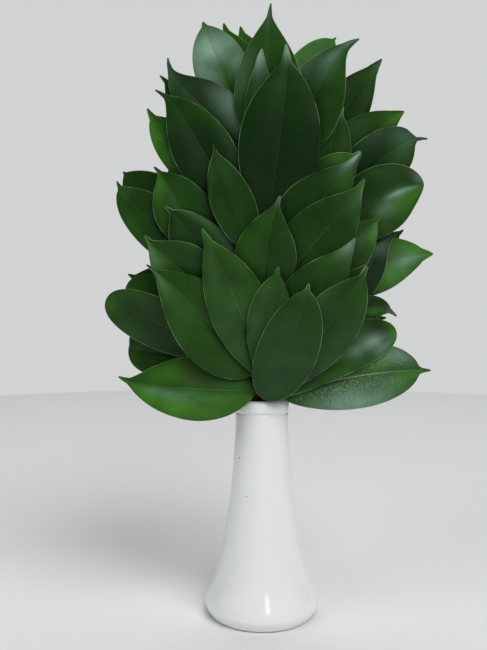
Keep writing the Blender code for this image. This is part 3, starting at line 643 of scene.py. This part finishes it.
class Pile:
    """How far in front of the axis plane the leaves laid so far reach, cell by cell."""

    def __init__(self):
        self.x0, self.z0 = -130.0, 96.0
        self.columns, self.rows = 164, 192
        x = self.x0 + CELL * (np.arange(self.columns) + 0.5)
        z = self.z0 + CELL * (np.arange(self.rows) + 0.5)
        x, z = np.meshgrid(x, z, indexing="ij")
        out = np.hypot(x, z - VASE_HEIGHT)
        # Nothing is laid further back than this
        self.front = BOWL_FRONT - BOWL_DEPTH * (1.0 - np.exp(-out / BOWL_REACH)) - BOWL_BEND * x * x
        # The front of the lip and neck, which hanging leaves pass in front of
        neck = (np.abs(x) < LIP_RADIUS + 2.0) & (z < 134.0)
        reach = np.sqrt(np.clip((LIP_RADIUS + 0.8) ** 2 - x * x, 0.0, None))
        self.front[neck] = reach[neck]

    def cells(self, x, z):
        i = np.clip(((x - self.x0) / CELL).astype(int), 1, self.columns - 2)
        j = np.clip(((z - self.z0) / CELL).astype(int), 1, self.rows - 2)
        return i, j

    def reach(self, x, z):
        return self.front[self.cells(x, z)]

    def add(self, x, z, d):
        i, j = self.cells(np.ravel(x), np.ravel(z))
        for across in (-1, 0, 1):
            for up in (-1, 0, 1):
                np.maximum.at(self.front, (i + across, j + up), np.ravel(d))


def half_width(spec, s):
    """Half the blade's width at s from stalk to tip: a rounded body, then a drawn-out tip."""
    heel, point, drip = spec["heel"], spec["point"], spec["drip"]
    u = np.clip(s / (1.0 - drip), 0.0, 1.0)
    peak = heel / (heel + point)
    top = peak ** heel * (1.0 - peak) ** point
    body = 0.5 * spec["width"] * u ** heel * (1.0 - u) ** point / top
    close = np.clip((1.0 - s) / max(1.4 * drip, 0.05), 0.0, 1.0)
    tongue = 0.5 + spec["beak"] * s * close
    return (body ** 2.5 + tongue ** 2.5) ** 0.4


def blade(spec, s, t):
    """Seen x and z, and relief towards the eye, at s along the blade and t across it."""
    base, tip = np.array(spec["base"], float), np.array(spec["tip"], float)
    chord = tip - base
    length = math.hypot(*chord)
    ahead = chord / length
    bow, hook = spec["bow"], spec["hook"]
    off = bow * 4.0 * s * (1.0 - s) - hook * 12.2 * s ** 4 * (1.0 - s)
    swing = bow * 4.0 * (1.0 - 2.0 * s) - hook * 12.2 * (4.0 * s ** 3 - 5.0 * s ** 4)
    turn = np.arctan2(swing, length)
    side_x = ahead[1] * np.cos(turn) - ahead[0] * np.sin(turn)
    side_z = -ahead[0] * np.cos(turn) - ahead[1] * np.sin(turn)
    half = half_width(spec, s)
    flat = t * half * math.cos(FOLD)
    relief = half * (math.sin(FOLD) * np.abs(t) - CUP * t * t)
    relief = relief + ARCH * 4.0 * s * (1.0 - s)
    relief = relief - CURL * (np.clip(s - 0.6, 0.0, 1.0) / 0.4) ** 2
    x = base[0] + chord[0] * s + ahead[1] * off + side_x * flat
    z = base[1] + chord[1] * s - ahead[0] * off + side_z * flat
    return x, z, relief


def depth_of(spec, s, t):
    """How far in front of the axis plane the settled leaf's own frame stands."""
    return spec["stand"] + spec["rise"] * s + spec["tilt"] * t * half_width(spec, s)


def settle(spec, pile, root):
    """Lay the leaf on the pile like a card: find the lowest stand, rise and tilt that clear it."""
    s, t = np.meshgrid(np.linspace(0.0, 1.0, 61), np.linspace(-1.0, 1.0, 27), indexing="ij")
    x, z, relief = blade(spec, s, t)
    aside = t * half_width(spec, s)
    need = pile.reach(x, z) + CLEAR + SOLID_BLADE - relief
    near, far = s < 0.05, s >= 0.05
    best = None
    for tilt in np.arange(-0.42, 0.43, 0.06):
        level = need - tilt * aside
        for extra in np.arange(0.0, 30.0, 0.5):
            stand = root + extra
            if stand < level[near].max():
                continue
            rise = max(LEAN, ((level[far] - stand) / s[far]).max())
            cost = stand + 0.5 * rise + 0.9 * extra + 6.0 * abs(tilt) + max(0.0, rise - 15.0)
            if best is None or cost < best[0]:
                best = (cost, stand, rise, tilt)
    spec["stand"], spec["rise"], spec["tilt"] = best[1:]
    pile.add(x, z, relief + depth_of(spec, s, t))


def smooth_way(points, count):
    """A curve with even steps through the points, as x, y, z rows."""
    points = np.array(points, float)
    steps = np.linalg.norm(np.diff(points, axis=0), axis=1) ** 0.5
    knots = np.concatenate(((0.0,), np.cumsum(steps)))
    slopes = np.gradient(points, knots, axis=0)
    fine = np.linspace(0.0, knots[-1], 40 * count)
    index = np.clip(np.searchsorted(knots, fine, side="right") - 1, 0, len(knots) - 2)
    span = (knots[index + 1] - knots[index])[:, None]
    u = (fine[:, None] - knots[index][:, None]) / span
    curve = ((2 * u ** 3 - 3 * u ** 2 + 1) * points[index]
             + (u ** 3 - 2 * u ** 2 + u) * span * slopes[index]
             + (3 * u ** 2 - 2 * u ** 3) * points[index + 1]
             + (u ** 3 - u ** 2) * span * slopes[index + 1])
    lengths = np.linalg.norm(np.diff(curve, axis=0), axis=1)
    travelled = np.concatenate(((0.0,), np.cumsum(lengths)))
    even = np.linspace(0.0, travelled[-1], count)
    return np.stack([np.interp(even, travelled, curve[:, k]) for k in range(3)], axis=1)


def lay_stem(twig, pile):
    """Carry the stem up from the neck, just in front of everything laid behind it."""
    foot_x, foot_y = twig["foot"]
    mouth_d = -foot_y
    mouth_z = EYE_HEIGHT + (VASE_HEIGHT - EYE_HEIGHT) / (1.0 - mouth_d / EYE_DISTANCE)
    mouth_x = foot_x / (1.0 - mouth_d / EYE_DISTANCE)
    plan = [(mouth_x, 0.0, mouth_z + 1.0)] + [(x, 0.0, z) for x, z in twig["way"]]
    path = smooth_way(plan, 26)
    x, z = path[:, 0], path[:, 2]
    travelled = np.concatenate(((0.0,), np.cumsum(np.hypot(np.diff(x), np.diff(z)))))
    need = pile.reach(x, z) + CLEAR + STEM_FOOT_RADIUS
    need[0] = mouth_d
    mouth = travelled < MOUTH_RUN
    need[mouth] = np.minimum(need[mouth], mouth_d + 1.0)
    gap = np.abs(travelled[:, None] - travelled[None, :])
    depth = (need[None, :] - STEM_SLOPE * gap).max(axis=1)
    blend = np.clip(travelled / MOUTH_BLEND, 0.0, 1.0)
    blend = blend * blend * (3.0 - 2.0 * blend)
    depth = mouth_d + (depth - mouth_d) * blend
    for _ in range(3):
        depth[1:-1] = 0.25 * depth[:-2] + 0.5 * depth[1:-1] + 0.25 * depth[2:]
    twig["seen"] = np.stack((x, z, depth), axis=1)
    fine = np.linspace(0.0, len(x) - 1.0, 200)
    where = np.arange(len(x))
    x, z, depth = (np.interp(fine, where, v) for v in (x, z, depth))
    for shift in (-1.5, 0.0, 1.5):
        pile.add(x + shift, z, depth + STEM_FOOT_RADIUS * 0.9)


def lay_everything():
    """Settle the depth of every stem and leaf, from the rear of the bundle to its front."""
    pile = Pile()
    for twig in TWIGS:
        lay_stem(twig, pile)
        stem = twig["seen"]
        for spec in twig["leaves"]:
            base, tip = np.array(spec["base"], float), np.array(spec["tip"], float)
            ahead = (tip - base) / np.linalg.norm(tip - base)
            joint = base - 3.0 * ahead - np.array((0.0, 3.0))
            joint[1] = max(joint[1], STALK_FLOOR)
            near = np.hypot(stem[:, 0] - joint[0], stem[:, 1] - joint[1]).argmin()
            spec["joint"] = int(near)
            settle(spec, pile, stem[near, 2] + 0.5)


def new_mesh(name, verts, faces, sharp):
    """A smooth mesh from points in millimetres, where edges past sharp degrees stay sharp."""
    mesh = bpy.data.meshes.new(name)
    mesh.from_pydata((np.array(verts) * MM).tolist(), [], faces)
    mesh.shade_smooth()
    mesh.set_sharp_from_angle(angle=math.radians(sharp))
    return mesh


def new_object(name, data):
    thing = bpy.data.objects.new(name, data)
    bpy.context.scene.collection.objects.link(thing)
    return thing


class Growth:
    """The points, faces and colouring of one twig as it grows."""

    def __init__(self):
        self.verts, self.faces, self.kinds = [], [], []
        self.blade, self.tone, self.part = [], [], []
        self.count = 0

    def add(self, verts, faces, kind, blade_place, tone, part):
        """Add a closed piece of mesh. kind is LEAF or BARK."""
        verts = np.reshape(verts, (-1, 3))
        for store, values in ((self.verts, verts), (self.blade, blade_place),
                              (self.tone, tone), (self.part, part)):
            store.append(np.broadcast_to(np.asarray(values, float), verts.shape))
        self.faces += [tuple(k + self.count for k in face) for face in faces]
        self.kinds += [kind] * len(faces)
        self.count += len(verts)

    def mesh(self, name):
        mesh = new_mesh(name, np.concatenate(self.verts), self.faces, SHARP_ON_TWIG)
        mesh.polygons.foreach_set("material_index", self.kinds)
        for label, rows in (("blade", self.blade), ("tone", self.tone), ("part", self.part)):
            layer = mesh.attributes.new(label, "FLOAT_VECTOR", "POINT")
            layer.data.foreach_set("vector", np.concatenate(rows).astype(np.float32).ravel())
        return mesh


def tube(path, radii, sides):
    """Points and faces of a closed round tube."""
    path = np.array(path, float)
    radii = np.array(radii, float)
    tangents = unit(np.gradient(path, axis=0))
    across = np.cross(tangents[0], (0.35, 1.0, 0.2))
    angles = 2.0 * math.pi * np.arange(sides) / sides
    verts = []
    for centre, tangent, radius in zip(path, tangents, radii):
        across = unit(across - tangent * np.dot(across, tangent))
        other = np.cross(tangent, across)
        ring = np.outer(np.cos(angles), across) + np.outer(np.sin(angles), other)
        verts.append(centre + radius * ring)
    faces = []
    for ring in range(len(path) - 1):
        for k in range(sides):
            a, b = ring * sides + k, ring * sides + (k + 1) % sides
            faces.append((a, b, b + sides, a + sides))
    last = (len(path) - 1) * sides
    faces.append(tuple(reversed(range(sides))))
    faces.append(tuple(last + k for k in range(sides)))
    return np.concatenate(verts), faces


def patches(listed, s, t):
    """How strong the listed soft patches are at each place of a blade."""
    strength = np.zeros_like(s)
    for along, across, long, wide, most in listed:
        patch = np.exp(-((s - along) / long) ** 2 - ((t - across) / wide) ** 2)
        strength = np.maximum(strength, most * patch)
    return strength


def grow_blade(growth, spec, look, chance):
    """A thin closed blade with a sunken midrib, waved and turned-down margins."""
    turns = 0.5 - 0.5 * np.cos(math.pi * np.linspace(0.0, 1.0, BLADE_ROWS + 1))
    t_row = np.array([-v for v in reversed(ACROSS[1:])] + list(ACROSS))
    s, t = np.meshgrid(turns, t_row, indexing="ij")
    x, z, relief = blade(spec, s, t)
    half = half_width(spec, s)
    length = math.dist(spec["base"], spec["tip"])
    wave = look.wave / MM
    beats = 2.0 + 2.0 * chance
    sway = np.sin(2.0 * math.pi * (beats * s + chance * 5.0) + np.sign(t) * 1.3)
    middle = np.clip(4.0 * s * (1.0 - s), 0.0, 1.0)
    relief = relief + wave * sway * t * t * middle
    relief = relief - MARGIN_DROP * np.clip((np.abs(t) - 0.85) / 0.15, 0.0, 1.0) ** 2 * middle
    centre = seen(x, z, depth_of(spec, s, t) + relief)
    normal = unit(np.cross(np.gradient(centre, axis=1), np.gradient(centre, axis=0)))
    thick = (look.thickness / MM) * (1.0 - 0.35 * t * t)
    groove = GROOVE_DEPTH * np.exp(-(t * half / GROOVE_REACH) ** 2)
    groove = groove * np.clip(1.0 - s, 0.0, 1.0) ** 0.5 * np.clip(s / 0.1, 0.0, 1.0)
    upper = centre + normal * (0.5 * thick - np.minimum(groove, 0.3 * thick))[..., None]
    lower = centre - normal * (0.5 * thick)[..., None]
    rows, columns = s.shape
    total, faces = rows * columns, []
    for i in range(rows - 1):
        for j in range(columns - 1):
            a = i * columns + j
            b, c, d = a + 1, a + columns + 1, a + columns
            faces.append((a, b, c, d))
            faces.append((a + total, d + total, c + total, b + total))
    rim = [i * columns for i in range(rows)]
    rim += [(rows - 1) * columns + j for j in range(1, columns)]
    rim += [i * columns + columns - 1 for i in range(rows - 2, -1, -1)]
    rim += list(range(columns - 2, 0, -1))
    for a, b in zip(rim, rim[1:] + rim[:1]):
        faces.append((a, b, b + total, a + total))
    place = np.stack((s * length, t * half, half * (1.0 - np.abs(t))), -1).reshape(-1, 3)
    # How young each place looks, with the glow patches' brighter green that is partly painted light; the
    # painted sheen; and the pale specks
    tone = np.stack((spec["fresh"] + patches(spec["glow"], s, t), patches(spec["painted_sheen"], s, t),
                     patches(spec["dust"], s, t)), -1).reshape(-1, 3)
    part = np.zeros((2 * total, 3))
    part[:total, 0] = 1.0
    part[:, 1] = chance
    # Browning, and painted shade on some leaves, on the upper face only
    part[:total, 2] = patches(spec["brown_and_shade"], s, t).ravel()
    growth.add(np.concatenate((upper.reshape(-1, 3), lower.reshape(-1, 3))), faces, LEAF,
               np.concatenate((place, place)), np.concatenate((tone, tone)), part)
    return centre[:, len(ACROSS) - 1], normal[:, len(ACROSS) - 1], turns


def grow_stalk(growth, twig, spec, midline, normals, turns, chance):
    """The leaf stalk from inside the stem, which runs on as the rib under the blade."""
    start = seen(*twig["seen"][spec["joint"]])
    root, inner = midline[1], midline[8]
    # The stalk curves so that it meets the blade in the direction its midrib starts in
    bend = 0.5 * (root - (inner - root) * 0.45) + 0.5 * start
    way = smooth_way((start, 0.75 * bend + 0.25 * start, 0.5 * (bend + root), root), STALK_ROWS)
    way = way[:-1]
    under = slice(RIB_FIRST_ROW, int((turns <= RIB_END).sum()))
    rib_turns = turns[under]
    rib_radii = RIB_TIP_RADIUS + (STALK_RADIUS - RIB_TIP_RADIUS) * (1.0 - rib_turns) ** 1.6
    sunk = rib_radii - 0.12
    rib = midline[under] - normals[under] * sunk[:, None]
    path = np.concatenate((way, rib))
    radii = np.linspace(STALK_ROOT_RADIUS, STALK_RADIUS, len(way))
    verts, faces = tube(path, np.concatenate((radii, rib_radii)), STALK_SIDES)
    stalk = np.concatenate((np.ones(len(way)), np.clip(1.0 - rib_turns * 3.0, 0.0, 1.0)))
    stalk = np.repeat(stalk, STALK_SIDES)
    part = np.stack((-stalk, np.full_like(stalk, chance), np.zeros_like(stalk)), -1)
    growth.add(verts, faces, LEAF, OFF_BLADE, (spec["fresh"], 0.0, 0.0), part)


def grow_stem(growth, twig):
    """The twig itself, swollen a little where each stalk leaves it, ending in a bud."""
    foot_x, foot_y = twig["foot"]
    low = [(foot_x, foot_y, z) for z in (FLOOR_THICKNESS + WATER_GAP, 34.0, 60.0, WATER_TOP, 124.0)]
    upper = [seen(*row) for row in twig["seen"][1:]]
    path = smooth_way(np.array(low + upper), STEM_ROWS)
    radii = np.linspace(STEM_FOOT_RADIUS, STEM_TIP_RADIUS, len(path))
    for spec in twig["leaves"]:
        gap = np.linalg.norm(path - seen(*twig["seen"][spec["joint"]]), axis=1)
        radii = radii + SWELLING * np.exp(-(gap / SWELLING_REACH) ** 2)
    radii = np.minimum(radii, STEM_FOOT_RADIUS)
    ahead = unit(path[-1] - path[-2])
    bud = [path[-1] + ahead * step for step, _ in BUD]
    path = np.concatenate((path, bud))
    radii = np.concatenate((radii, [radius for _, radius in BUD]))
    verts, faces = tube(path, radii, STEM_SIDES)
    growth.add(verts, faces, BARK, OFF_BLADE, (0.2, 0.0, 0.0), (1.0, 0.5, 0.0))


def add_piece(name, mesh, materials, node):
    """Put a piece in the scene in the place of a solid, riding on the object's one body."""
    thing = new_object(name, mesh)
    for material in materials:
        mesh.materials.append(material)
    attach(thing, "root")
    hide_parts(node)


def curved(points, degrees=3.0, longest=5.0):
    """Points on a smooth curve, close together where it turns and apart where it runs straight."""
    curve = smooth_way([(r, 0.0, z) for r, z in points], 700)
    ways = unit(np.diff(curve, axis=0))
    kept, last = [0], 0
    for k in range(1, len(ways)):
        turn = math.degrees(math.acos(min(1.0, float(np.dot(ways[last], ways[k])))))
        if turn > degrees or np.linalg.norm(curve[k] - curve[kept[-1]]) > longest:
            kept.append(k)
            last = k
    kept.append(len(curve) - 1)
    return [(float(curve[k][0]), float(curve[k][2])) for k in kept]


def turned(name, profile, segments):
    """A closed surface of revolution from an outline that starts and ends on the axis."""
    radii, heights = np.array(profile).T
    angles = 2.0 * math.pi * np.arange(segments) / segments
    rings = np.stack((np.outer(radii[1:-1], np.cos(angles)), np.outer(radii[1:-1], np.sin(angles)),
                      np.repeat(heights[1:-1, None], segments, axis=1)), -1)
    verts = rings.reshape(-1, 3).tolist() + [(0.0, 0.0, heights[0]), (0.0, 0.0, heights[-1])]
    start, end = len(verts) - 2, len(verts) - 1
    last = (len(rings) - 1) * segments
    faces = []
    for k in range(segments):
        follow = (k + 1) % segments
        faces.append((start, follow, k))
        faces.append((last + k, last + follow, end))
        for ring in range(0, last, segments):
            faces.append((ring + k, ring + follow, ring + segments + follow, ring + segments + k))
    return new_mesh(name, verts, faces, SHARP_ON_VASE)


class SAKAKI_OT_turn_vase(bpy.types.Operator):
    """Turn the porcelain vase with its lip, groove and foot ring"""

    bl_idname = "sakaki.turn_vase"
    bl_label = "Turn the vase"
    bl_options = {"REGISTER", "UNDO"}

    def execute(self, context):
        look = context.scene.sakaki_vase
        profile = list(FOOT_RING[:-1])
        for run in (BODY, LIP, INSIDE[:-2]):
            profile += curved(run)[:-1]
        profile += list(INSIDE[-3:])
        mesh = turned("vase_glazed", profile, look.segments)
        add_piece("vase_glazed", mesh, [glaze_finish(look)], "vase")
        return {"FINISHED"}


class SAKAKI_OT_fill_water(bpy.types.Operator):
    """Give the solid part's water its clear finish"""

    bl_idname = "sakaki.fill_water"
    bl_label = "Fill with water"
    bl_options = {"REGISTER", "UNDO"}

    def execute(self, context):
        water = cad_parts["water"]
        if not water.material_slots:
            raise RuntimeError("the solid part's water has no material slot")
        water.material_slots[0].material = water_finish()
        return {"FINISHED"}


class SAKAKI_OT_grow_twigs(bpy.types.Operator):
    """Grow every leafy twig in the place of its solid"""

    bl_idname = "sakaki.grow_twigs"
    bl_label = "Grow the twigs"
    bl_options = {"REGISTER", "UNDO"}

    def execute(self, context):
        look = context.scene.sakaki_leaves
        materials = [leaf_finish(look), bark_finish(context.scene.sakaki_twigs)]
        lay_everything()
        for number, twig in enumerate(TWIGS):
            growth = Growth()
            draw = np.random.default_rng(number)
            for spec in twig["leaves"]:
                chance = float(draw.random())
                midline, normals, turns = grow_blade(growth, spec, look, chance)
                grow_stalk(growth, twig, spec, midline, normals, turns, chance)
            grow_stem(growth, twig)
            name = twig["name"] + "_leafy"
            add_piece(name, growth.mesh(name), materials, twig["name"])
        return {"FINISHED"}


def softbox(name, place, size, colour, power, glints):
    """A soft area light. Only one with glints shows in the glossy reflections."""
    lamp = bpy.data.lights.new(name, "AREA")
    lamp.shape = "RECTANGLE"
    lamp.size, lamp.size_y = size
    lamp.energy = power
    lamp.color = colour
    thing = new_object(name, lamp)
    thing.location = place
    thing.visible_glossy = glints
    towards = Vector(LIT_POINT) - Vector(place)
    thing.rotation_euler = towards.to_track_quat("-Z", "Y").to_euler()


class SAKAKI_OT_set_stage(bpy.types.Operator):
    """Lay the plain floor, hang the soft lights and place the camera"""

    bl_idname = "sakaki.set_stage"
    bl_label = "Set the stage"
    bl_options = {"REGISTER", "UNDO"}

    def execute(self, context):
        look = context.scene.sakaki_stage
        mesh = bpy.data.meshes.new("floor")
        angles = [2.0 * math.pi * k / FLOOR_SIDES for k in range(FLOOR_SIDES)]
        rim = [(FLOOR_RADIUS * math.cos(a), FLOOR_RADIUS * math.sin(a), 0.0) for a in angles]
        mesh.from_pydata(rim, [], [tuple(range(FLOOR_SIDES))])
        mesh.materials.append(floor_finish(look))
        floor = new_object("floor", mesh)
        context.scene.world = surround_finish(look)
        for name, (place, size, colour, power, glints) in SOFTBOXES.items():
            softbox(name, place, size, colour, getattr(look, power), glints)
        sight = bpy.data.cameras.new("camera")
        sight.lens = LENS
        sight.sensor_width = SENSOR_WIDTH
        camera = new_object("camera", sight)
        camera.location = (0.0, -EYE_DISTANCE * MM, EYE_HEIGHT * MM)
        camera.rotation_euler = (math.radians(CAMERA_TILT), 0.0, math.radians(CAMERA_TURN))
        context.scene.camera = camera
        context.scene.view_settings.view_transform = "Standard"
        return {"FINISHED"}


class SAKAKI_PT_panel(bpy.types.Panel):
    bl_label = "Sakaki arrangement"
    bl_idname = "SAKAKI_PT_panel"
    bl_space_type = "VIEW_3D"
    bl_region_type = "UI"
    bl_category = "Sakaki"

    def draw(self, context):
        scene = context.scene
        for title, group, operator in (
                ("Vase", scene.sakaki_vase, "sakaki.turn_vase"),
                ("Water", None, "sakaki.fill_water"),
                ("Leaves", scene.sakaki_leaves, "sakaki.grow_twigs"),
                ("Bark", scene.sakaki_twigs, None),
                ("Stage", scene.sakaki_stage, "sakaki.set_stage")):
            box = self.layout.box()
            box.label(text=title)
            if group:
                for name in group.__annotations__:
                    box.prop(group, name)
            if operator:
                box.operator(operator)


CLASSES = (LeafSettings, TwigSettings, VaseSettings, StageSettings, SAKAKI_OT_turn_vase,
           SAKAKI_OT_fill_water, SAKAKI_OT_grow_twigs, SAKAKI_OT_set_stage, SAKAKI_PT_panel)
GROUPS = {"sakaki_leaves": LeafSettings, "sakaki_twigs": TwigSettings,
          "sakaki_vase": VaseSettings, "sakaki_stage": StageSettings}


def register():
    for cls in CLASSES:
        bpy.utils.register_class(cls)
    for name, group in GROUPS.items():
        setattr(bpy.types.Scene, name, PointerProperty(type=group))


def unregister():
    for name in GROUPS:
        delattr(bpy.types.Scene, name)
    for cls in reversed(CLASSES):
        bpy.utils.unregister_class(cls)


def main():
    register()
    bpy.ops.sakaki.turn_vase()
    bpy.ops.sakaki.fill_water()
    bpy.ops.sakaki.grow_twigs()
    bpy.ops.sakaki.set_stage()


if __name__ == "__main__":
    main()
